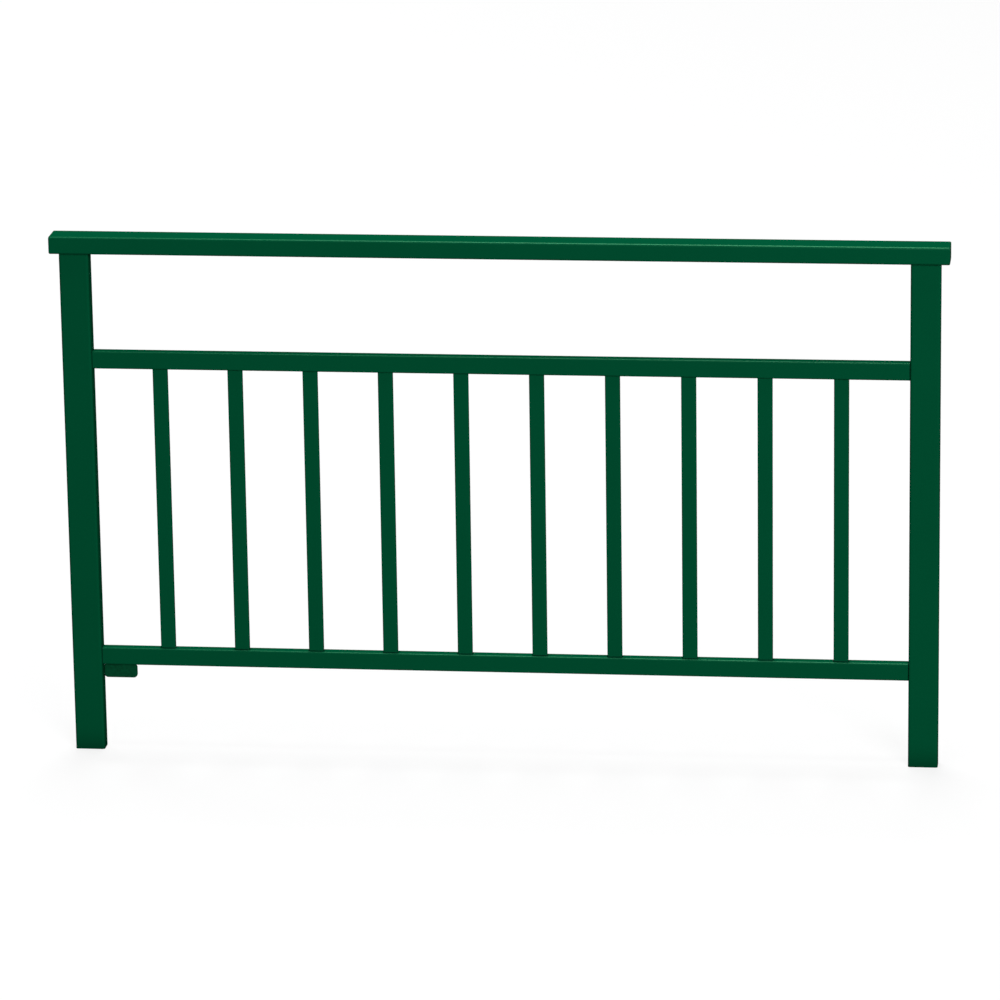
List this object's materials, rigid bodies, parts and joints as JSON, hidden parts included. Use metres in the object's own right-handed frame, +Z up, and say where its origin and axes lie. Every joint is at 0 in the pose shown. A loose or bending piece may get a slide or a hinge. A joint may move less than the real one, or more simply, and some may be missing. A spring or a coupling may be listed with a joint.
{
  "type": "street barrier",
  "caption": "Welded steel street barrier: flat posts set in the ground, a flat handrail across their tops, two level rails and evenly spaced upright balusters between them.",
  "frame": {"origin": "middle of the left post's foot face, on the ground line", "axes": "+X along the barrier towards the right post, +Y through its depth, +Z up"},
  "size_m": [1.5, 0.05, 0.9],
  "materials": {
    "green_paint": "satin"
  },
  "bodies": {
    "root": {"left_post": "green_paint", "right_post": "green_paint", "handrail": "green_paint", "left_end_cap": "green_paint", "right_end_cap": "green_paint", "mid_rail": "green_paint", "bottom_rail": "green_paint", "marker_plate": "green_paint", "baluster_01": "green_paint", "baluster_02": "green_paint", "baluster_03": "green_paint", "baluster_04": "green_paint", "baluster_05": "green_paint", "baluster_06": "green_paint", "baluster_07": "green_paint", "baluster_08": "green_paint", "baluster_09": "green_paint", "baluster_10": "green_paint"}
  },
  "joints": []
}
